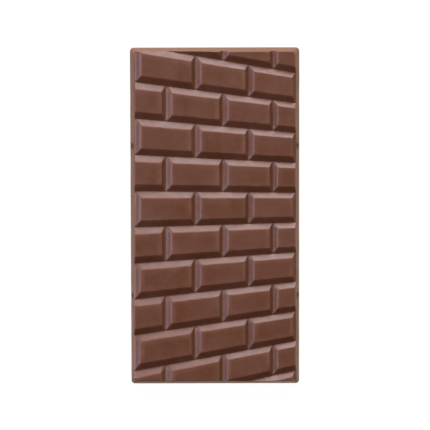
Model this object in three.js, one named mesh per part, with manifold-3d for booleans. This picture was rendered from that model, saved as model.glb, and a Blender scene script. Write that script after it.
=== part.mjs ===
// A moulded tablet of milk chocolate, one solid piece, in millimetres.
// It lies on its flat back with +Z up. The origin is the middle of the back, +Y runs along the tablet
// and +X across it. Its face is a brick wall in relief, laid in running bond and drawn in perspective:
// the wall stands nearest at the left edge and runs away to the right, so the courses draw together.

import * as THREE from 'three';
import { ConvexGeometry } from 'three/addons/geometries/ConvexGeometry.js';
import { mergeVertices } from 'three/addons/utils/BufferGeometryUtils.js';
import Module from 'manifold-3d';

// The tablet
const LENGTH = 154.2; // of the back, along Y
const WIDTH = 77.3; // of the back, along X
const THICKNESS = 7.4; // from the back to the faces of the bricks
const GROOVE_DEPTH = 1.8; // from the brick faces down to the joints
const JOINT_Z = THICKNESS - GROOVE_DEPTH;
const CORNER_RADIUS = 1.6; // of the upright corners
const CORNER_STEPS = 5; // facets round an upright corner

// The side walls lean in on their way up, so that the mould lets go. The near ones, at the left,
// have a narrow ledge at the height of the joints, which dies away towards the far ones.
const NEAR_LEDGE_INSET = 1.85; // how far in from the back the near walls meet the ledge
const NEAR_BRICK_INSET = 2.1; // how far in the ledge ends, where the bricks stand up from it
const NEAR_RIM_INSET = 2.3; // how far in the walls meet the brick faces
const FAR_RIM_INSET = 2.25;
const FAR_LEDGE_INSET = (FAR_RIM_INSET * JOINT_Z) / THICKNESS; // on the even slope of the far walls
const RIM_RADIUS = 0.4; // of the edge between a side wall and the brick faces
const ROUND_STEPS = 2; // facets across a rounded edge

// The brick relief
const GROOVE_FLOOR = 0.2; // width of the flat at the bottom of a joint
const BRICK_RADIUS = 0.9; // of the edges round a brick's face
const FIRST_COURSE = 0; // courses are counted down from the top edge, the first and last cut short
const LAST_COURSE = 11;
const LEFT_BEVEL = 0.117; // the slopes round a brick, as shares of its length
const RIGHT_BEVEL = 0.073;
const COURSE_BEVEL = 0.195; // and above and below it, as a share of the course height
const FACE_LIFT = 0.017; // how far the faces sit above the middle of their courses at the far end

// The perspective of the wall
const WALL_END_X = -36.77; // the near end of the wall, where the uncut bricks begin
const VANISH_X = 376.35; // the point that all courses run towards
const HORIZON_Y = 6.9; // the level line, which stays square to the side walls
const HORIZON_COURSE = 4.3; // the place of the level line, counted in courses
const COURSE_HEIGHT = 16.47; // of a course at the near end
const EYE_DISTANCE = 13.9; // from the eye to the near end, in brick lengths
const BRICKS_ACROSS = 3;
const UPRIGHT_LEAN = 0.0075; // how far the uprights lean at the near end, per millimetre along Y
const LEANLESS_X = 26.85; // where they stand upright

// Two small hollows in each long side
const HOLLOW_YS = [32.2, -36.1];
const HOLLOW_LENGTH = 3.6;
const HOLLOW_HEIGHT = 5.0;
const HOLLOW_DEPTH = 0.5;
const HOLLOW_Z = 3.0; // of its middle, above the back
const HOLLOW_FACETS = 12;

const COLOR = 0x6a4537;

const wasm = await Module();
wasm.setup();

// A closed geometry as a manifold solid. Only positions are kept, so that corners are shared.
function toSolid(geometry) {
  const bare = geometry.clone();
  bare.deleteAttribute('normal');
  bare.deleteAttribute('uv');
  const merged = mergeVertices(bare, 1e-5);
  const mesh = new wasm.Mesh({
    numProp: 3,
    vertProperties: new Float32Array(merged.attributes.position.array),
    triVerts: new Uint32Array(merged.index.array),
  });
  return new wasm.Manifold(mesh);
}

// A manifold solid as a geometry.
function toGeometry(solid) {
  const { vertProperties, triVerts } = solid.getMesh();
  const geometry = new THREE.BufferGeometry();
  geometry.setAttribute('position', new THREE.BufferAttribute(vertProperties, 3));
  geometry.setIndex(new THREE.BufferAttribute(triVerts, 1));
  geometry.computeVertexNormals();
  return geometry;
}

// The steps of a rounded edge between a slope and the level face above it, from the slope upwards.
// tuck is how far a step lies in from the sharp edge, drop how far it lies below the face.
function roundedEdge(slopeAngle, radius) {
  const steps = [];
  for (let i = 0; i <= ROUND_STEPS; i += 1) {
    const angle = slopeAngle * (1 - i / ROUND_STEPS);
    const tuck = radius * (Math.tan(slopeAngle / 2) - Math.sin(angle));
    const drop = radius * (1 - Math.cos(angle));
    steps.push({ tuck, drop });
  }
  return steps;
}

// A point of the relief or of a side wall, leaned with the uprights of the wall: in full from the
// joints up, and less and less below them.
function leaned(x, y, z) {
  const lean = (UPRIGHT_LEAN * (LEANLESS_X - x)) / (LEANLESS_X - WALL_END_X);
  return new THREE.Vector3(x + lean * y * Math.min(z / JOINT_Z, 1), y, z);
}

// The outline of the tablet at one height, with round corners. It lies nearInset in from the back's
// outline at its left corners, and farInset in at its right ones.
function tabletOutline(nearInset, farInset, z) {
  const shape = new THREE.Shape();
  const nearX = WIDTH / 2 - nearInset - CORNER_RADIUS;
  const nearY = LENGTH / 2 - nearInset - CORNER_RADIUS;
  const farX = WIDTH / 2 - farInset - CORNER_RADIUS;
  const farY = LENGTH / 2 - farInset - CORNER_RADIUS;
  const quarter = Math.PI / 2;
  shape.absarc(farX, farY, CORNER_RADIUS, 0, quarter);
  shape.absarc(-nearX, nearY, CORNER_RADIUS, quarter, 2 * quarter);
  shape.absarc(-nearX, -nearY, CORNER_RADIUS, 2 * quarter, 3 * quarter);
  shape.absarc(farX, -farY, CORNER_RADIUS, 3 * quarter, 4 * quarter);
  return shape.getPoints(CORNER_STEPS).map((point) => leaned(point.x, point.y, z));
}

// The tablet before it has its bricks: the plinth below the joints, and the block that the bricks are
// cut from, with its rounded rim.
function makeTablet() {
  const plinthPoints = [
    ...tabletOutline(0, 0, 0),
    ...tabletOutline(NEAR_LEDGE_INSET, FAR_LEDGE_INSET, JOINT_Z),
  ];
  const wallAngle = Math.atan2(GROOVE_DEPTH, NEAR_RIM_INSET - NEAR_BRICK_INSET);
  const blockPoints = tabletOutline(NEAR_BRICK_INSET, FAR_LEDGE_INSET, JOINT_Z);
  for (const { tuck, drop } of roundedEdge(wallAngle, RIM_RADIUS)) {
    blockPoints.push(...tabletOutline(NEAR_RIM_INSET + tuck, FAR_RIM_INSET + tuck, THICKNESS - drop));
  }
  return toSolid(new ConvexGeometry(plinthPoints)).add(toSolid(new ConvexGeometry(blockPoints)));
}

// x of the upright line that lies u brick lengths from the near end of the wall. Equal steps along
// the wall shrink as they near the vanishing point.
function wallX(u) {
  return VANISH_X - ((VANISH_X - WALL_END_X) * EYE_DISTANCE) / (EYE_DISTANCE + u);
}

// How far the faces sit above the middle of their courses, as a share of the course height.
function faceLift(u) {
  return (FACE_LIFT * (wallX(u) - WALL_END_X)) / WIDTH;
}

// Where the point of the wall at u and course lies on the tablet. Courses are counted down.
function onTablet(u, course) {
  const x = wallX(u);
  const courseHeight = (COURSE_HEIGHT * (VANISH_X - x)) / (VANISH_X - WALL_END_X);
  return new THREE.Vector2(x, HORIZON_Y - (course - HORIZON_COURSE) * courseHeight);
}

// The four corners of a brick that starts at u, at one height. rise goes from 0 at the joints to 1
// at the edge of its face, and tuck moves each corner in from there.
function brickOutline(u, course, rise, tuck, z) {
  const left = u + rise * LEFT_BEVEL;
  const right = u + 1 - rise * RIGHT_BEVEL;
  const top = (end) => course - 1 + rise * (COURSE_BEVEL - faceLift(end));
  const bottom = (end) => course - rise * (COURSE_BEVEL + faceLift(end));
  const corners = [
    [left, top(left), 1, -1],
    [right, top(right), -1, -1],
    [right, bottom(right), -1, 1],
    [left, bottom(left), 1, 1],
  ];
  return corners.map(([cornerU, cornerCourse, inX, inY]) => {
    const place = onTablet(cornerU, cornerCourse);
    return leaned(place.x + inX * tuck, place.y + inY * tuck, z);
  });
}

// One brick: four slopes up from the joints, and a flat face with a rounded edge. It reaches down
// into the body below the joints.
function makeBrick(u, course) {
  const slopeAngle = Math.atan2(GROOVE_DEPTH, COURSE_BEVEL * COURSE_HEIGHT);
  const points = [
    ...brickOutline(u, course, 0, GROOVE_FLOOR / 2, JOINT_Z - GROOVE_DEPTH),
    ...brickOutline(u, course, 0, GROOVE_FLOOR / 2, JOINT_Z),
  ];
  for (const { tuck, drop } of roundedEdge(slopeAngle, BRICK_RADIUS)) {
    points.push(...brickOutline(u, course, 1, tuck, THICKNESS - drop));
  }
  return toSolid(new ConvexGeometry(points));
}

// The body of the tablet up to the joints, with every brick on it. Uneven courses start with a whole
// brick at the near end and even courses with half a brick. The tablet's own outline cuts them off.
function makeRelief() {
  const body = new THREE.BoxGeometry(2 * WIDTH, 2 * LENGTH, 2 * JOINT_Z);
  let relief = toSolid(body);
  for (let course = FIRST_COURSE; course <= LAST_COURSE; course += 1) {
    const firstU = course % 2 === 1 ? 0 : -0.5;
    for (let u = firstU; u < BRICKS_ACROSS; u += 1) {
      relief = relief.add(makeBrick(u, course));
    }
  }
  return relief;
}

// A shallow hollow in the side wall, side 1 on the right and -1 on the left. It leans in with the wall.
function makeHollow(side, y) {
  const ledgeInset = side > 0 ? FAR_LEDGE_INSET : NEAR_LEDGE_INSET;
  const ball = new THREE.SphereGeometry(1, HOLLOW_FACETS, HOLLOW_FACETS / 2);
  ball.scale(HOLLOW_DEPTH, HOLLOW_LENGTH / 2, HOLLOW_HEIGHT / 2);
  ball.rotateY(-side * Math.atan2(ledgeInset, JOINT_Z));
  const sideX = side * (WIDTH / 2 - (ledgeInset * HOLLOW_Z) / JOINT_Z);
  const place = leaned(sideX, y, HOLLOW_Z);
  ball.translate(place.x, place.y, place.z);
  return toSolid(ball);
}

function makeBar() {
  let bar = makeTablet().intersect(makeRelief());
  for (const y of HOLLOW_YS) {
    for (const side of [-1, 1]) {
      bar = bar.subtract(makeHollow(side, y));
    }
  }
  return toGeometry(bar);
}

const chocolate = new THREE.MeshStandardMaterial({ color: COLOR, roughness: 0.42, metalness: 0 });
const bar = new THREE.Mesh(makeBar(), chocolate);
bar.name = 'bar';

const model = new THREE.Group();
model.add(bar);

export default model;
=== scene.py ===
"""A moulded tablet of milk chocolate on a pale floor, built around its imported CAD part."""

import bpy
import numpy as np
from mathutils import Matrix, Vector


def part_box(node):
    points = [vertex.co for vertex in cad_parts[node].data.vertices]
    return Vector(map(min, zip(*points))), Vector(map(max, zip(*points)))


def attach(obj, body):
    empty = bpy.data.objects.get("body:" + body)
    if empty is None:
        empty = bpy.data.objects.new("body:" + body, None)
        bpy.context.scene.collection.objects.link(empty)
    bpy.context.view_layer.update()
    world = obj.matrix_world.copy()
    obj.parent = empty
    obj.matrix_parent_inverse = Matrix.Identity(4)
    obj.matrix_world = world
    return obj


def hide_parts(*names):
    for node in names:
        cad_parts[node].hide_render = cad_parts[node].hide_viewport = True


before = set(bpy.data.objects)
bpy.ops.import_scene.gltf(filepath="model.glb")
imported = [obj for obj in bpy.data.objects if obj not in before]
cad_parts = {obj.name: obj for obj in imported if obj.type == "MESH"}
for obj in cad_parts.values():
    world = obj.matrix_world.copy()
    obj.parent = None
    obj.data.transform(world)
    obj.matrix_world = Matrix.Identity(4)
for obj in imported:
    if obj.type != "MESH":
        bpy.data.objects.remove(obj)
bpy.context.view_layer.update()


# ---------------------------------------------------------------------------------------------
# The tablet
# One casting of tempered milk chocolate. It was poured into a polished mould whose floor is cut
# as a brick wall in relief, shaken level, scraped flat at the open side, cooled and tapped out.
# ---------------------------------------------------------------------------------------------

MM = 0.001  # metres in a millimetre: the shape is worked out in millimetres

low_corner, high_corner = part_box("bar")
WIDTH = (high_corner.x - low_corner.x) / MM
LENGTH = (high_corner.y - low_corner.y) / MM
THICKNESS = (high_corner.z - low_corner.z) / MM

GROOVE_DEPTH = 1.8  # from the brick faces down to the joints
JOINT_Z = THICKNESS - GROOVE_DEPTH
END_ROUNDING = 0.03  # how far the rounded bottom of an upright joint lies above its sharp line
BED_ROUNDING = 0.06  # and that of a level joint
FACE_ROUNDING = 0.18  # height over which the edge of a brick's face is rounded
MITRE_ROUNDING = 0.3  # and the ridge between two of its slopes
MITRE_SHARE = 0.8  # low down, a ridge's rounding is this share of the slopes' height
LEAST_ROUNDING = 1e-6  # and never quite nothing
SWEEP = 0.32  # how much steeper a brick's ends are half way up than on the whole
LEFT_BEVEL = 0.117  # the slopes round a brick, as shares of its length
RIGHT_BEVEL = 0.073
COURSE_BEVEL = 0.195  # and above and below it, as a share of the course height
FACE_LIFT = 0.017  # how far the faces sit above the middle of their courses at the far end

WALL_END_X = -36.77  # the near end of the wall, where the uncut bricks begin
VANISH_X = 376.35  # the point that all courses run towards
HORIZON_Y = 6.9  # the level line, which stays square to the side walls
HORIZON_COURSE = 4.3  # its place, counted in courses down from the top
COURSE_HEIGHT = 16.47  # of a course at the near end
EYE_DISTANCE = 13.9  # from the eye to the near end, in brick lengths
REACH = VANISH_X - WALL_END_X
UPRIGHT_LEAN = 0.0075  # how far the uprights lean at the near end
LEANLESS_X = 26.85  # where they stand upright


def course_height(x):
    """Height of a course at x: it shrinks evenly to nothing at the vanishing point."""
    return COURSE_HEIGHT * (VANISH_X - x) / REACH


def brick_x(u):
    """x of the upright line that lies u brick lengths along the wall: the distance left to the
    vanishing point is the whole reach, times the eye distance, over the eye distance plus u."""
    return VANISH_X - REACH * EYE_DISTANCE / (EYE_DISTANCE + u)


def wall_place(x, y):
    """The place (u, course) on the drawn wall that lies at (x, y) on the tablet. u is the whole
    reach, times the eye distance, over the distance left to the vanishing point, less the eye
    distance. The course is the level line's, less the height above that line in course heights."""
    u = REACH * EYE_DISTANCE / (VANISH_X - x) - EYE_DISTANCE
    course = HORIZON_COURSE - (y - HORIZON_Y) / course_height(x)
    return u, course


def face_lift(x):
    """How far the faces at x sit above the middle of their courses, as a share of the course
    height: it grows evenly from nothing at the near end of the wall."""
    return FACE_LIFT * (x - WALL_END_X) / WIDTH


def soft_min(a, b, reach):
    """The lower of a and b, rounded over where they cross: where they differ by less than reach,
    a quarter of reach times the square of the closeness, which is 1 where they are equal."""
    closeness = np.maximum(reach - np.abs(a - b), 0.0) / reach
    return np.minimum(a, b) - 0.25 * reach * closeness**2


def joint_rounded(height, rounding):
    """The height of a slope above its joint, with the joint's bottom rounded: below twice the
    rounding it is the rounding plus the height squared over four times the rounding."""
    curved = height**2 / (4 * rounding) + rounding
    return np.where(height < 2 * rounding, curved, height)


def swept(share):
    """The height of the slope at a brick's end, as a share of the joint's depth, at a share of the
    way up it. The slope is steepest half way and eases off towards both its edges: the share, less
    a sine wave of it whose strength is the sweep over twice pi. Past the edge it goes on evenly."""
    wave = SWEEP / (2 * np.pi) * np.sin(2 * np.pi * share)
    return np.where(share < 1, share - wave, 1 + (1 - SWEEP) * (share - 1))


def brick_slopes(x, y):
    """Height above the joints of the four slopes of the brick at (x, y), taken together. The ones
    above and below it rise evenly from their joints and those at its ends in a sweep, and the
    lowest one is the surface. Uneven courses start with a whole brick, and have nothing to the
    left of it. Even ones start with half a brick."""
    u, course = wall_place(x, y)
    uneven = np.floor(course) % 2 == 0
    along = u - np.where(uneven, 0.0, 0.5)
    along -= np.floor(along)
    down = course - np.floor(course)
    left = GROOVE_DEPTH * swept(along / LEFT_BEVEL)
    right = GROOVE_DEPTH * swept((1 - along) / RIGHT_BEVEL)
    above = GROOVE_DEPTH * down / (COURSE_BEVEL - face_lift(x))
    below = GROOVE_DEPTH * (1 - down) / (COURSE_BEVEL + face_lift(x))
    ends = np.where(uneven & (u < 0), 0.0, np.minimum(left, right))
    beds = np.minimum(above, below)
    mitre = np.clip(MITRE_SHARE * np.minimum(ends, beds), LEAST_ROUNDING, MITRE_ROUNDING)
    return soft_min(joint_rounded(ends, END_ROUNDING), joint_rounded(beds, BED_ROUNDING), mitre)


# At the far end of the wall the side of the tablet leans in evenly, from the back to the rim. At
# the near end it leans in more, up to a narrow ledge where the joints end, and from there the ends
# of the bricks go up steeply. Each profile holds how far in from the back's outline its points
# lie, and how high.
CORNER_RADIUS = 1.6  # of the upright corners
BACK_RADIUS = 0.25  # of the edge between side wall and back
LEDGE_START = 1.85  # how far in the near wall meets the ledge
LEDGE_END = 2.1  # and how far in the bricks stand up from it
LEDGE_RISE = 0.05  # of the ledge, on its way in
LEDGE_ROUNDING = 0.1  # radius of its two corners
NEAR_RIM_INSET = 2.3  # of the sharp edge that the rim is rounded from
FAR_RIM_INSET = 2.25
RIM_RADIUS = 0.4
RELIEF_ROUNDING = 0.15  # height over which the edge between wall and relief is rounded
FOOT_POINTS = 7  # on the arcs that round a profile's corners
LEDGE_POINTS = 4
RIM_POINTS = 9


def rounded_corner(before, corner, after, radius, count):
    """Points on the arc that rounds the corner between two lines. It touches each line at the
    radius times the tangent of half the turn from the corner, and its middle lies on the line
    that halves the corner, at the radius over the cosine of half the turn. The points come at even
    turns: each, counted from the middle, is the first times the sine of the turn left plus the last
    times the sine of the turn made, over the sine of the whole turn."""
    back = (before - corner) / np.linalg.norm(before - corner)
    ahead = (after - corner) / np.linalg.norm(after - corner)
    turn = np.arccos(-back @ ahead)
    halving = (back + ahead) / np.linalg.norm(back + ahead)
    middle = corner + halving * radius / np.cos(turn / 2)
    first = corner + back * radius * np.tan(turn / 2) - middle
    last = corner + ahead * radius * np.tan(turn / 2) - middle
    share = np.linspace(0, 1, count)[:, None]
    return middle + (np.sin((1 - share) * turn) * first + np.sin(share * turn) * last) / np.sin(turn)


under_back = np.array([1.0, 0.0])
foot = np.array([0.0, 0.0])
ledge_start = np.array([LEDGE_START, JOINT_Z])
ledge_end = np.array([LEDGE_END, JOINT_Z + LEDGE_RISE])
near_rim = np.array([NEAR_RIM_INSET, THICKNESS])
far_rim = np.array([FAR_RIM_INSET, THICKNESS])
face_inside = np.array([WIDTH / 2, THICKNESS])
foot_profile = rounded_corner(under_back, foot, ledge_start, BACK_RADIUS, FOOT_POINTS)
near_profile = np.concatenate([
    foot_profile[-1:],
    rounded_corner(foot, ledge_start, ledge_end, LEDGE_ROUNDING, LEDGE_POINTS),
    rounded_corner(ledge_start, ledge_end, near_rim, LEDGE_ROUNDING, LEDGE_POINTS),
    rounded_corner(ledge_end, near_rim, face_inside, RIM_RADIUS, RIM_POINTS),
])
far_profile = np.concatenate([
    foot_profile[-1:],
    rounded_corner(foot, far_rim, face_inside, RIM_RADIUS, RIM_POINTS),
])
FOOT_INSET = foot_profile[-1, 0]


def outline_inset(x, y):
    """How far in from the back's outline the outline through (x, y) lies. Along the sides it is
    the distance to the side. In a corner it is how far the corner's circle has to move in
    diagonally to pass through the point, which is the root of a square equation."""
    across = np.abs(x) - (WIDTH / 2 - CORNER_RADIUS)
    along = np.abs(y) - (LENGTH / 2 - CORNER_RADIUS)
    side = CORNER_RADIUS - np.maximum(across, along)
    total = across + along
    spread = total**2 - 2 * (across**2 + along**2 - CORNER_RADIUS**2)
    corner = 0.5 * (np.sqrt(np.maximum(spread, 0.0)) - total)
    in_corner = np.minimum(across, along) + side > 0
    return np.where(in_corner, corner, side)


def side_height(x, y):
    """Height of the side wall over (x, y): the near profile turns into the far one evenly across
    the tablet."""
    inset = outline_inset(x, y)
    near = np.interp(inset, *near_profile.T)
    far = np.interp(inset, *far_profile.T)
    return near + (far - near) * (0.5 + x / WIDTH)


def face_height(x, y):
    """Height of the tablet's upper surface: the lowest of the bricks' slopes, their faces and the
    side wall, rounded where the slopes meet the other two."""
    slopes = JOINT_Z + brick_slopes(x, y)
    wall = side_height(x, y)
    relief = soft_min(slopes, THICKNESS, FACE_ROUNDING)
    return np.minimum(relief, soft_min(slopes, wall, RELIEF_ROUNDING))


# As it sets, the chocolate shrinks a little unevenly, so no face of it is quite flat.
SHRINKAGE = 0.02
SHRINK_WAVES = 12
SHRINK_LENGTHS = (9.0, 30.0)  # of the shortest and the longest of them
random = np.random.default_rng(7)
shrink_length = random.uniform(*SHRINK_LENGTHS, SHRINK_WAVES)
shrink_turn = random.uniform(0, 2 * np.pi, SHRINK_WAVES)
shrink_start = random.uniform(0, 2 * np.pi, SHRINK_WAVES)


def shrinkage(x, y):
    """How far the surface at (x, y) has drawn in or out: a sum of twelve sine waves that run all
    ways across the tablet, scaled to the same strength as one wave."""
    along = x[..., None] * np.cos(shrink_turn) + y[..., None] * np.sin(shrink_turn)
    waves = np.sin(2 * np.pi * along / shrink_length + shrink_start)
    return SHRINKAGE * waves.sum(-1) * np.sqrt(2 / SHRINK_WAVES)


# Two small hollows in each long side, where the casting stuck a little as it came out.
HOLLOW_YS = (32.2, -36.1)
HOLLOW_Z = 3.0  # of a hollow's middle
HOLLOW_INSET = 0.7  # and about how far in from the outline it lies
HOLLOW_REACH = 1.8  # from its middle to its ends, along the side
HOLLOW_RISE = 2.5  # and up and down
HOLLOW_DEPTH = 0.5


def in_hollow(x, y, z):
    """How deep in a hollow (x, y, z) lies: the square of one less the square of the distance from
    the hollow's middle, counted in its reach and its rise. It is nothing away from the sides."""
    at_side = np.abs(x) > WIDTH / 2 - LEDGE_START
    share = 0.0
    for hollow_y in HOLLOW_YS:
        off = ((y - hollow_y) / HOLLOW_REACH) ** 2 + ((z - HOLLOW_Z) / HOLLOW_RISE) ** 2
        share = share + at_side * np.maximum(1 - off, 0.0) ** 2
    return share


# The surface is a net whose lines run along the joints, the slopes' edges and the rim, closer
# together where the surface turns.
JOINT_LINES = np.array([0.35, 0.7, 1.05])  # in a joint's rounding, as shares of its half width
END_LINES = np.array([0.2, 0.5, 0.8])  # up the slope at a brick's end, as shares of it
BED_LINES = np.array([0.3, 0.5, 0.7])  # and up the one above or below it
TURN_LINES = np.array([-1.1, -0.5, 0.0, 0.5, 1.1])  # across a face's rounded edge, in its half widths
FLAT_LINES = 3  # from there half way to the next joint
LINE_GAP = 0.03  # lines closer than this, in millimetres, are one line


def lines_up_slope(bevel, slope_lines, rounding):
    """The net lines from a joint up one slope to the face, as distances from the joint: those in
    the joint's rounding, those on the slope, and those round the edge of the face. Each is the
    bevel, the slope's width, times the share of the slope's height that it lies at."""
    in_joint = JOINT_LINES * 2 * rounding / GROOVE_DEPTH
    at_face = 1 + TURN_LINES * FACE_ROUNDING / GROOVE_DEPTH
    return bevel * np.concatenate([in_joint, slope_lines, at_face])


def lines_round_joint(before, after, slope_lines, rounding, half_gap):
    """The net lines round one joint, as distances from it: down the slope before it and up the one
    after it, with even steps on the flats to half way to the joint on either side."""
    down = lines_up_slope(before, slope_lines, rounding)
    up = lines_up_slope(after, slope_lines, rounding)
    flat_before = np.linspace(down[-1], half_gap, FLAT_LINES)[1:]
    flat_after = np.linspace(up[-1], half_gap, FLAT_LINES)[1:-1]
    return np.concatenate([-flat_before, -down, [0.0], up, flat_after])


def thinned(values, gap):
    """The values in order, without those that lie less than gap after the one before."""
    ordered = np.unique(values)
    return ordered[np.concatenate([[True], np.diff(ordered) >= gap])]


# Lines across the tablet: round the joints, which the courses have by turns every half brick, up
# the side walls, through the hollows and round the upright corners.
HALF_WIDTH = WIDTH / 2 - FOOT_INSET  # the net ends where the back edge's rounding begins
HALF_LENGTH = LENGTH / 2 - FOOT_INSET
UPRIGHTS = np.arange(-1, 8) / 2  # the places of the joints, in brick lengths along the wall
UPRIGHT_GAP = 0.25  # half the way from one to the next
HOLLOW_LINES = np.linspace(-1, 1, 9)  # as shares of a hollow's reach and rise
RIM_LINES = np.array([1.5, 1.7, 2.14, 2.18, 2.22, 2.8, 3.1])  # more insets, by the ledge and rim
CORNER_LINES = 9
EDGE_SLACK = 1e-9  # keeps the lines on the edge itself

wall_lines = np.interp(HOLLOW_Z + HOLLOW_RISE * HOLLOW_LINES, *near_profile.T[::-1])
rim_lines = np.concatenate([near_profile[:, 0], far_profile[:, 0], wall_lines, RIM_LINES])
quarter = np.linspace(0, np.pi / 2, CORNER_LINES)
corner_lines = FOOT_INSET + CORNER_RADIUS * (1 - np.sin(quarter))
upright_lines = lines_round_joint(RIGHT_BEVEL, LEFT_BEVEL, END_LINES, END_ROUNDING, UPRIGHT_GAP)
net_u = UPRIGHTS[:, None] + upright_lines
side_x = WIDTH / 2 - np.concatenate([rim_lines, corner_lines])
net_x = np.concatenate([brick_x(net_u).ravel(), side_x, -side_x])
net_x = thinned(net_x[np.abs(net_x) <= HALF_WIDTH + EDGE_SLACK], LINE_GAP)

# Lines along the courses: round their joints, and through the hollows on both sides.
BEDS = np.arange(-1, 12)  # the places of the joints, in courses
BED_GAP = 0.5

bed_lines = lines_round_joint(COURSE_BEVEL, COURSE_BEVEL, BED_LINES, BED_ROUNDING, BED_GAP)
hollow_ys = np.ravel(np.array(HOLLOW_YS)[:, None] + HOLLOW_REACH * HOLLOW_LINES)
hollow_sides = (-WIDTH / 2 + HOLLOW_INSET, WIDTH / 2 - HOLLOW_INSET)
hollow_courses = [wall_place(side, hollow_ys)[1] for side in hollow_sides]
net_course = np.concatenate([np.ravel(BEDS[:, None] + bed_lines), *hollow_courses])
net_course = thinned(net_course, LINE_GAP / COURSE_HEIGHT)[::-1, None]


def end_limit(x):
    """y of the net's outline at x: the straight end, or the arc of the corner, whose height over
    its middle is the root of the radius squared less the square of the way past the middle."""
    past = np.maximum(np.abs(x) - (HALF_WIDTH - CORNER_RADIUS), 0.0)
    return HALF_LENGTH - CORNER_RADIUS + np.sqrt(np.maximum(CORNER_RADIUS**2 - past**2, 0.0))


# The rows that follow the courses are gathered where they would pass into the band at an end, and
# from there on the rows run along the end.
BAND = 3.4  # width of the band

band_start = LENGTH / 2 - BAND
off_joint = np.minimum(np.abs(net_course - np.round(net_course)) / COURSE_BEVEL, 1)
lifted_course = net_course - off_joint * face_lift(net_x)
course_rows = HORIZON_Y - (lifted_course - HORIZON_COURSE) * course_height(net_x)
reaches = (course_rows.max(axis=1) > -band_start) & (course_rows.min(axis=1) < band_start)
first_row = reaches.argmax() - 1
last_row = len(reaches) - reaches[::-1].argmax()
course_rows = np.clip(course_rows[first_row : last_row + 1], -band_start, band_start)

band_insets = thinned(rim_lines, LINE_GAP)[::-1, None]
band_share = (BAND - band_insets) / (BAND - FOOT_INSET)
band_rows = band_start + band_share * (end_limit(net_x) - band_start)
net_y = np.concatenate([-band_rows[::-1], course_rows, band_rows])
net_xx = np.broadcast_to(net_x, net_y.shape)
net_z = face_height(net_xx, net_y)

# The uprights and the tops of the side walls lean: each point moves across by the lean at its x
# times its y, in full from the joints up, and less and less below them.
lean = UPRIGHT_LEAN * (LEANLESS_X - net_x) / (LEANLESS_X - WALL_END_X)
leaned_x = net_x + lean * net_y * np.minimum(net_z / JOINT_Z, 1)
wall_share = np.clip((JOINT_Z - net_z) / JOINT_Z, 0, 1)
drawn_in = HOLLOW_DEPTH * in_hollow(net_x, net_y, net_z) + wall_share * shrinkage(net_y, net_xx)
placed_x = leaned_x - net_x / (WIDTH / 2) * drawn_in
placed_z = net_z + (1 - wall_share) * shrinkage(net_xx, net_y)

# Where rows are gathered, they share the first of their points.
row_count, column_count = net_y.shape
row_index = np.broadcast_to(np.arange(row_count)[:, None], net_y.shape)
first_free = (net_y > -band_start).argmax(axis=0)
first_gathered = (net_y >= band_start).argmax(axis=0)
in_band = (row_index < len(band_rows)) | (row_index >= row_count - len(band_rows))
shared_row = np.clip(row_index, first_free - 1, first_gathered)
net_point = np.where(in_band, row_index, shared_row) * column_count + np.arange(column_count)


def net_triangles(point, height):
    """Two triangles for each cell of a net of points, split along the diagonal whose middle lies
    higher, so that the ridges between two slopes stay unbroken."""
    a, b = point[:-1, :-1], point[:-1, 1:]
    c, d = point[1:, 1:], point[1:, :-1]
    rising = height[:-1, :-1] + height[1:, 1:] > height[:-1, 1:] + height[1:, :-1]
    rising = rising[..., None]
    first = np.where(rising, np.stack([a, b, c], -1), np.stack([a, b, d], -1))
    second = np.where(rising, np.stack([a, c, d], -1), np.stack([b, c, d], -1))
    return np.concatenate([first.reshape(-1, 3), second.reshape(-1, 3)])


face_points = np.stack([placed_x, net_y, placed_z], -1).reshape(-1, 3)
face_triangles = net_triangles(net_point, net_z)

# The rim of the net, once round, and the rings that carry it round the foot to the back.
rim = np.concatenate([net_point[0], net_point[:, -1], net_point[-1, ::-1], net_point[::-1, 0]])
rim = rim[rim != np.roll(rim, 1)]
rim_points = face_points[rim]
past_corner = np.abs(rim_points[:, :2]) - [HALF_WIDTH - CORNER_RADIUS, HALF_LENGTH - CORNER_RADIUS]
outward = np.sign(rim_points[:, :2]) * np.maximum(past_corner, 0.0)
outward /= np.linalg.norm(outward, axis=1)[:, None]
foot_inset, foot_z = foot_profile[-2::-1].T
foot_rings = rim_points[:, :2] + (FOOT_INSET - foot_inset)[:, None, None] * outward
foot_z = np.broadcast_to(foot_z[:, None, None], (*foot_rings.shape[:2], 1))
foot_points = np.concatenate([foot_rings, foot_z], -1).reshape(-1, 3)
ring_point = np.arange(len(foot_points)).reshape(foot_rings.shape[:2]) + len(face_points)
ring_point = np.concatenate([rim[None], ring_point])
ring_point = np.concatenate([ring_point, ring_point[:, :1]], axis=1)[:, ::-1]
foot_triangles = net_triangles(ring_point, np.zeros(ring_point.shape))

# The back is the side that lay open to the air. It set with the chocolate drawn up a little at the
# mould's edge and the scraper's low waves across it.
BACK_STEP = 1.5  # between the lines of its net
BACK_MARGIN = 1.3  # from the outline to its net
BACK_HOLLOW = 0.12  # how far its middle lies up from the floor
BACK_RISE = 4.0  # it has risen most of that way this far in
WAVE_HEIGHT = 0.03
WAVE_COUNT = 14
WAVE_LENGTHS = (9.0, 40.0)  # of the shortest and the longest
WAVE_SPREAD = 0.35  # of their directions round the tablet's length, in radians
random = np.random.default_rng(11)
wave_length = random.uniform(*WAVE_LENGTHS, WAVE_COUNT)
wave_turn = random.normal(np.pi / 2, WAVE_SPREAD, WAVE_COUNT)
wave_start = random.uniform(0, 2 * np.pi, WAVE_COUNT)


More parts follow.
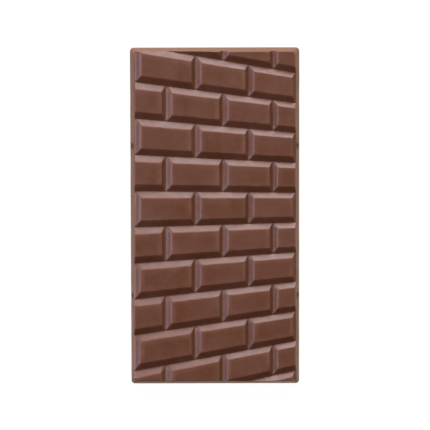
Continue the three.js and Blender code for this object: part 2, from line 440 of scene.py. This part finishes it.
def back_height(x, y):
    """Height of the back above the floor: the hollow plus a sum of fourteen low waves that mostly
    run along y, times one less the bell curve of the distance in from the outline, so that it is
    nothing at the edge."""
    inset = outline_inset(x, y)
    along = x[..., None] * np.cos(wave_turn) + y[..., None] * np.sin(wave_turn)
    waves = np.sin(2 * np.pi * along / wave_length + wave_start).sum(-1) / np.sqrt(WAVE_COUNT)
    return (BACK_HOLLOW + WAVE_HEIGHT * waves) * (1 - np.exp(-((inset / BACK_RISE) ** 2)))


back_half = np.array([WIDTH, LENGTH]) / 2 - BACK_MARGIN
back_count = np.round(2 * back_half / BACK_STEP).astype(int) + 1
back_x = np.linspace(-back_half[0], back_half[0], back_count[0])
back_y = np.linspace(-back_half[1], back_half[1], back_count[1])
back_xx, back_yy = np.meshgrid(back_x, back_y)
back_points = np.stack([back_xx, back_yy, back_height(back_xx, back_yy)], -1).reshape(-1, 3)
first_back = len(face_points) + len(foot_points)
back_point = np.arange(len(back_points)).reshape(back_xx.shape) + first_back
back_triangles = net_triangles(back_point[:, ::-1], np.zeros(back_xx.shape))


def stitch(outer, inner, places):
    """Triangles between two closed loops of points, both in order of their angle round the
    middle. Each side of one loop is joined to the point of the other whose angle comes last
    before the side's end."""
    angle = np.arctan2(places[:, 1] / LENGTH, places[:, 0] / WIDTH)
    outer, inner = [loop[np.argsort(angle[loop])] for loop in (outer, inner)]
    outer_angle, inner_angle = angle[outer], angle[inner]
    outer_next, inner_next = np.roll(outer, -1), np.roll(inner, -1)
    beside_outer = inner[np.searchsorted(inner_angle, outer_angle, side="right") - 1]
    beside_outer = np.roll(beside_outer, -1)
    beside_inner = outer[np.searchsorted(outer_angle, inner_angle, side="left") - 1]
    beside_inner = np.roll(beside_inner, -1)
    from_outer = np.stack([outer, beside_outer, outer_next], -1)
    from_inner = np.stack([inner, inner_next, beside_inner], -1)
    return np.concatenate([from_outer, from_inner])


points = np.concatenate([face_points, foot_points, back_points])
back_sides = [back_point[0, :-1], back_point[:-1, -1], back_point[-1, :0:-1], back_point[:0:-1, 0]]
back_rim = np.concatenate(back_sides)
seam_triangles = stitch(ring_point[-1, :-1], back_rim, points)
triangles = np.concatenate([face_triangles, foot_triangles, seam_triangles, back_triangles])
distinct = (triangles != np.roll(triangles, 1, axis=1)).all(axis=1)
triangles = triangles[distinct]


def mesh_object(name, points_mm, triangles):
    """A smooth mesh object with its place in its mesh, from points in millimetres. Points that no
    triangle uses are left out."""
    used, numbers = np.unique(triangles, return_inverse=True)
    mesh = bpy.data.meshes.new(name)
    mesh.from_pydata((points_mm[used] * MM).tolist(), [], numbers.reshape(-1, 3).tolist())
    mesh.polygons.foreach_set("use_smooth", np.ones(len(triangles), bool))
    mesh.update()
    made = bpy.data.objects.new(name, mesh)
    bpy.context.scene.collection.objects.link(made)
    return made


tablet = mesh_object("tablet", points, triangles)

# The wear, painted highlight and painted shade of each point, as shares. The edges of the faces and
# of the rim are paled, most on the edge itself, fading away evenly on both sides: partly rubbed wear,
# partly a painted highlight. The side walls are scuffed all over, where they slid along the mould as
# the casting came out. The hollows are coloured darker and matt, except at their edges: the darker
# colour is painted shade.
RUB_AND_HIGHLIGHT_HEIGHT = 0.35  # of slope that is rubbed and carries the painted highlight, below the edge and above the face's own height
RUB_AND_HIGHLIGHT_INSET = 0.45  # and of the rim, on both sides of its middle
RUB_AND_HIGHLIGHT_LEVEL = 0.5  # only the upper half of a slope is rubbed and carries the painted highlight
BACK_TOP = 0.3  # the open back ends this high above the floor
HOLLOW_SHADE_SHARE = 0.125  # from this share of a hollow's depth on, it is fully matt and darkened with painted shade

mesh_place = np.empty(3 * len(tablet.data.vertices))
tablet.data.vertices.foreach_get("co", mesh_place)
mesh_x, mesh_y, mesh_z = mesh_place.reshape(-1, 3).T / MM
from_edge = np.abs(brick_slopes(mesh_x, mesh_y) - GROOVE_DEPTH) / RUB_AND_HIGHLIGHT_HEIGHT
below_rim = (NEAR_RIM_INSET - outline_inset(mesh_x, mesh_y)) / RUB_AND_HIGHLIGHT_INSET
on_top = mesh_z > JOINT_Z + RUB_AND_HIGHLIGHT_LEVEL * GROOVE_DEPTH
wear_and_painted_light = {
    "edge_wear_and_highlight_mask": on_top * np.maximum(1 - np.minimum(from_edge, np.abs(below_rim)), 0),
    "scuffed_side": (mesh_z > BACK_TOP) * np.clip(below_rim, 0, 1),
    "hollow_shade_and_matt": np.clip(in_hollow(mesh_x, mesh_y, mesh_z) / HOLLOW_SHADE_SHARE, 0, 1),
}
for name, shares in wear_and_painted_light.items():
    tablet.data.attributes.new(name, "FLOAT", "POINT").data.foreach_set("value", shares)


def linear(hex_colour):
    """An sRGB hex colour as linear red, green, blue and alpha: below 0.04045 a channel is divided
    by 12.92, and above it 0.055 is added, it is divided by 1.055 and raised to the power 2.4."""
    channels = np.array([int(hex_colour[i : i + 2], 16) for i in (1, 3, 5)]) / 255
    low = channels / 12.92
    high = ((channels + 0.055) / 1.055) ** 2.4
    return (*np.where(channels <= 0.04045, low, high).tolist(), 1.0)


def add_node(tree, kind, inputs, **settings):
    """Adds a node and sets its properties. Each input named is linked, if it is given a socket, or
    else set to what it is given."""
    node = tree.nodes.new(kind)
    for name, value in settings.items():
        setattr(node, name, value)
    for name, value in inputs.items():
        if isinstance(value, bpy.types.NodeSocket):
            tree.links.new(value, node.inputs[name])
        else:
            node.inputs[name].default_value = value
    return node


# Tempered milk chocolate, set against a polished mould. Milk solids and ground sugar make it an
# opaque, faintly clouded brown, and the cocoa butter at its surface gives a soft satin gloss. It is
# paler and duller where its edges have rubbed and on the back, which set in the open air, tan where
# its sides are scuffed, and darker and matt in the hollows. The paler edges are partly a painted
# highlight, and the darker colour of the hollows is painted shade.
CHOCOLATE = "#5e3a25"
PALE_CHOCOLATE = "#6b4a3d"
# paler colour of the rubbed edges, where it is partly a painted highlight, and of the open back
PALE_WEAR_AND_HIGHLIGHT_CHOCOLATE = "#8f6757"
SCUFFED_CHOCOLATE = "#886450"
# darker colour of the hollows: painted shade
HOLLOW_SHADE_CHOCOLATE = "#5a3b2d"
CHOCOLATE_IOR = 1.46  # cocoa butter
SATIN = 0.36  # roughness against the mould
SATIN_SPREAD = 0.06  # by which its fine scuffs change it
OPEN_SATIN = 0.62  # roughness of the open back and of the hollows
BACK_FULL = 0.5 * BACK_TOP  # the back looks fully open from this height down
PATTERNS = {  # the size of each pattern's blots in millimetres, and its detail
    "cloud": (12.0, 2.0),
    "fleck": (2.0, 3.0),
    "scuff": (5.0, 4.0),
    "grain": (0.6, 2.0),  # real sugar and milk grains are far finer: drawn as coarse as shows
    "swell": (7.0, 1.0),  # the low swells that the setting leaves
}
PATTERN_ROUGHNESS = 0.55
PATTERN_RANGE = (0.3, 0.7)  # a pattern seldom leaves this range
PATCH_RANGE = (0.35, 0.65)  # and this one parts it into patches
CLOUD_PALING = 0.6  # how much of the paler colour the clouds bring at most
FLECK_PALING = 0.4
RUB_LEAST = 0.3  # rubbing between the patches
# how far the edges and the back pale; on the edges this is partly a painted highlight
WEAR_AND_HIGHLIGHT_PALING = 0.4
RUB_DULLING = 0.2
SCUFF_PALING = 0.5
GRAIN_HEIGHT = 0.004
OPEN_GRAIN_HEIGHT = 0.02
SWELL_HEIGHT = 0.02


def milk_chocolate():
    """The material of the tablet. Its patterns are noise of several sizes in object space, and its
    wear, the painted highlight on its edges and the painted shade in its hollows come from the mesh's
    own attributes. Every value that is worked out on the way is kept under its name."""
    material = bpy.data.materials.new("tempered_milk_chocolate")
    material.use_nodes = True
    tree = material.node_tree
    shader = tree.nodes["Principled BSDF"]
    shader.inputs["IOR"].default_value = CHOCOLATE_IOR
    place = add_node(tree, "ShaderNodeTexCoord", {}).outputs["Object"]
    values = {"height": add_node(tree, "ShaderNodeSeparateXYZ", {"Vector": place}).outputs["Z"]}
    for name, (size, detail) in PATTERNS.items():
        inputs = {"Vector": place, "Scale": 1 / (size * MM), "Detail": detail}
        inputs["Roughness"] = PATTERN_ROUGHNESS
        values[name] = add_node(tree, "ShaderNodeTexNoise", inputs).outputs["Fac"]
    for name in wear_and_painted_light:
        values[name] = add_node(tree, "ShaderNodeAttribute", {}, attribute_name=name).outputs["Fac"]

    # What each value is made from, and the two ranges between which it is moved and held.
    ranges = {
        "clouds": ("cloud", *PATTERN_RANGE, 0.0, CLOUD_PALING),
        "flecks": ("fleck", *PATTERN_RANGE, 0.0, FLECK_PALING),
        "rubbing": ("scuff", *PATCH_RANGE, RUB_LEAST, 1.0),
        "satin": ("scuff", *PATTERN_RANGE, SATIN - SATIN_SPREAD, SATIN + SATIN_SPREAD),
        "open_back": ("height", BACK_TOP * MM, BACK_FULL * MM, 0.0, 1.0),
        "graininess": ("open_back", 0.0, 1.0, GRAIN_HEIGHT / OPEN_GRAIN_HEIGHT, 1.0),
    }
    limit_names = ("From Min", "From Max", "To Min", "To Max")
    for name, (source, *limits) in ranges.items():
        inputs = {"Value": values[source], **dict(zip(limit_names, limits))}
        values[name] = add_node(tree, "ShaderNodeMapRange", inputs).outputs["Result"]

    # Two values, or a value and a number, taken together.
    sums = {
        "paleness": ("ADD", "clouds", "flecks"),
        # the rubbed edges, partly a painted highlight
        "patchy_edge_wear_and_highlight": ("MULTIPLY", "edge_wear_and_highlight_mask", "rubbing"),
        "dull_or_open": ("MAXIMUM", "patchy_edge_wear_and_highlight", "open_back"),
        "paled": ("MULTIPLY", "dull_or_open", WEAR_AND_HIGHLIGHT_PALING),
        "scuffed": ("MULTIPLY", "scuffed_side", SCUFF_PALING),
        "rub_dulled": ("MULTIPLY", "patchy_edge_wear_and_highlight", RUB_DULLING),
        "bare": ("MAXIMUM", "open_back", "hollow_shade_and_matt"),
        "dulled": ("MAXIMUM", "rub_dulled", "bare"),
        "roughened": ("MULTIPLY", "dulled", OPEN_SATIN - SATIN),
        "roughness": ("ADD", "satin", "roughened"),
        "grain_height": ("MULTIPLY", "grain", "graininess"),
    }
    for name, (operation, first, second) in sums.items():
        inputs = {0: values[first], 1: values.get(second, second)}
        values[name] = add_node(tree, "ShaderNodeMath", inputs, operation=operation).outputs[0]
    tree.links.new(values["roughness"], shader.inputs["Roughness"])

    # The colours, each laid over the ones before it by its share. A colour mix takes its share at
    # input 0 and its two colours at 6 and 7, and gives the mixed colour at output 2.
    # The paled layer is partly a painted highlight on the edges, and the hollows' layer is painted
    # shade.
    layers = {
        "paleness": PALE_CHOCOLATE,
        "paled": PALE_WEAR_AND_HIGHLIGHT_CHOCOLATE,
        "scuffed": SCUFFED_CHOCOLATE,
        "hollow_shade_and_matt": HOLLOW_SHADE_CHOCOLATE,
    }
    colour = linear(CHOCOLATE)
    for share, over in layers.items():
        inputs = {0: values[share], 6: colour, 7: linear(over)}
        colour = add_node(tree, "ShaderNodeMix", inputs, data_type="RGBA").outputs[2]
    tree.links.new(colour, shader.inputs["Base Color"])

    inputs = {"Distance": SWELL_HEIGHT * MM, "Height": values["swell"]}
    swells = add_node(tree, "ShaderNodeBump", inputs)
    inputs = {"Distance": OPEN_GRAIN_HEIGHT * MM, "Height": values["grain_height"]}
    grains = add_node(tree, "ShaderNodeBump", {**inputs, "Normal": swells.outputs["Normal"]})
    tree.links.new(grains.outputs["Normal"], shader.inputs["Normal"])
    return material


tablet.data.materials.append(milk_chocolate())
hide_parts("bar")
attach(tablet, "root")


# ---------------------------------------------------------------------------------------------
# The floor
# The opal glass top of a light table, which runs out past every view. Only the camera sees it. The
# tablet is lit by a second sheet just under it, which glows less and a little warm, so that its
# sides stay brown.
# ---------------------------------------------------------------------------------------------

# Opal glass scatters the light from behind it, and looks plain, even and matt.
OPAL = "#606060"
OPAL_ROUGHNESS = 0.9
TABLE_LIGHT = "#ffffff"
TABLE_GLOW = 0.94
TABLE_HALF = 3.0  # metres
SHEET_OPAL = "#000000"
SHEET_LIGHT = "#fff0dc"
SHEET_GLOW = 0.55
SHEET_DEPTH = 0.2  # below the table's top, in millimetres


def glowing_sheet(name, z, colour, light, glow):
    """A level square of opal glass, at z in metres, that glows with the light's colour."""
    corner_signs = np.array([[-1, -1], [1, -1], [1, 1], [-1, 1]])
    corners = np.column_stack([TABLE_HALF * corner_signs, np.full(4, z)])
    mesh = bpy.data.meshes.new(name)
    mesh.from_pydata(corners.tolist(), [], [(0, 1, 2, 3)])
    sheet = bpy.data.objects.new(name, mesh)
    bpy.context.scene.collection.objects.link(sheet)
    material = bpy.data.materials.new("opal_glass")
    material.use_nodes = True
    shader = material.node_tree.nodes["Principled BSDF"]
    shader.inputs["Base Color"].default_value = linear(colour)
    shader.inputs["Roughness"].default_value = OPAL_ROUGHNESS
    shader.inputs["Specular IOR Level"].default_value = 0.0
    shader.inputs["Emission Color"].default_value = linear(light)
    shader.inputs["Emission Strength"].default_value = glow
    mesh.materials.append(material)
    return sheet


table = glowing_sheet("light_table", 0.0, OPAL, TABLE_LIGHT, TABLE_GLOW)
table.visible_diffuse = False
table.visible_glossy = False
table.visible_shadow = False
lower_sheet = glowing_sheet("lower_sheet", -SHEET_DEPTH * MM, SHEET_OPAL, SHEET_LIGHT, SHEET_GLOW)
lower_sheet.visible_camera = False


# ---------------------------------------------------------------------------------------------
# The light
# A long soft panel low beyond the top of the tablet, a smaller cool one on the left, a weak warm one
# on the right and a weak cool one overhead. The room is white to look at, and gives no light.
# ---------------------------------------------------------------------------------------------


def soft_panel(name, azimuth, elevation, distance, size, glow, colour):
    """A rectangular lamp that faces the middle of the tablet. It stands at the azimuth, counted
    from +Y towards -X, and the elevation, both in degrees, and its distance and size are in metres.
    Its power is its glow times pi times its area."""
    lamp = bpy.data.lights.new(name, "AREA")
    lamp.shape = "RECTANGLE"
    lamp.size, lamp.size_y = size
    lamp.energy = glow * np.pi * size[0] * size[1]
    lamp.color = linear(colour)[:3]
    turn, rise = np.radians([azimuth, elevation])
    direction = [-np.sin(turn) * np.cos(rise), np.cos(turn) * np.cos(rise), np.sin(rise)]
    panel = bpy.data.objects.new(name, lamp)
    panel.location = distance * np.array(direction)
    panel.rotation_euler = (-panel.location).to_track_quat("-Z", "Y").to_euler()
    bpy.context.scene.collection.objects.link(panel)


# Each panel's azimuth, elevation, distance, size, glow and colour.
PANELS = {
    "key_panel": (0, 22, 1.60, (2.6, 0.9), 7.3, "#fff8ff"),
    "left_panel": (90, 40, 1.50, (1.25, 0.6), 5.6, "#f4e8ff"),
    "right_panel": (270, 50, 1.50, (1.25, 0.8), 2.0, "#ffdca0"),
    "overhead_panel": (0, 76, 1.30, (0.5, 0.3), 1.1, "#e0e8ff"),
}
for name, measures in PANELS.items():
    soft_panel(name, *measures)

ROOM_WHITE = "#ffffff"
room = bpy.data.worlds.new("white_room")
bpy.context.scene.world = room
room.use_nodes = True
room.node_tree.nodes["Background"].inputs["Color"].default_value = linear(ROOM_WHITE)
room.cycles_visibility.diffuse = False
room.cycles_visibility.glossy = False


# ---------------------------------------------------------------------------------------------
# The camera
# A long lens that looks almost straight down, from a little beyond the top of the tablet. It aims
# within a millimetre of the middle of the tablet's back, and is turned a trace about its own line.
# ---------------------------------------------------------------------------------------------

CAMERA_DISTANCE = 0.720  # metres from the point that it aims at
CAMERA_TILT = np.radians(3.2)
CAMERA_ROLL = np.radians(-0.13)
CAMERA_AIM = (0.00004, 0.00059)  # the point of the floor that it aims at
LENS = 131.6  # millimetres, as is the sensor
SENSOR = 36.0

camera_data = bpy.data.cameras.new("camera")
camera_data.lens = LENS
camera_data.sensor_width = SENSOR
camera = bpy.data.objects.new("camera", camera_data)
camera.location = (
    CAMERA_AIM[0],
    CAMERA_AIM[1] + CAMERA_DISTANCE * np.sin(CAMERA_TILT),
    CAMERA_DISTANCE * np.cos(CAMERA_TILT),
)
camera.rotation_mode = "ZYX"
camera.rotation_euler = (-CAMERA_TILT, 0.0, CAMERA_ROLL)
bpy.context.scene.collection.objects.link(camera)
bpy.context.scene.camera = camera
bpy.context.scene.view_settings.view_transform = "Standard"
